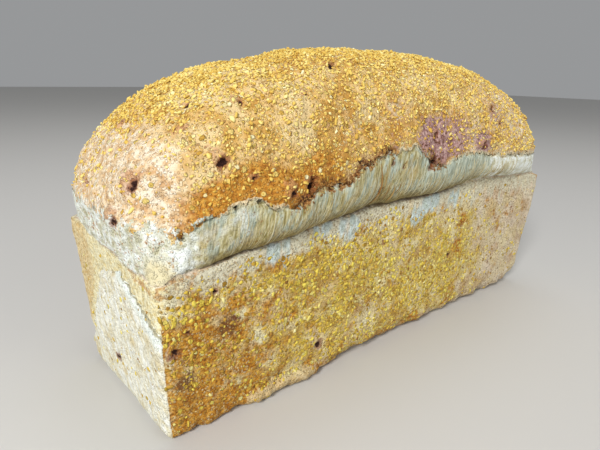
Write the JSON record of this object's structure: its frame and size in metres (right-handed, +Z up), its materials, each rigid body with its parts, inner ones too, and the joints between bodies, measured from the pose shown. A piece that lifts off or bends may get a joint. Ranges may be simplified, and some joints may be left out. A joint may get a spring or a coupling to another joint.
{
  "type": "tin loaf",
  "caption": "Tall tin loaf of white bread with a domed crust rolled in maize grits, to stand on its flat base or be sliced.",
  "frame": {"origin": "middle of the flat base", "axes": "+X along the loaf, -Y towards its front, the long side with the tallest tear, +Z up"},
  "size_m": [0.2804, 0.1074, 0.15],
  "materials": {
    "crust": "matte",
    "maize_grit": "matte"
  },
  "bodies": {
    "root": {"loaf": "crust"}
  },
  "joints": []
}
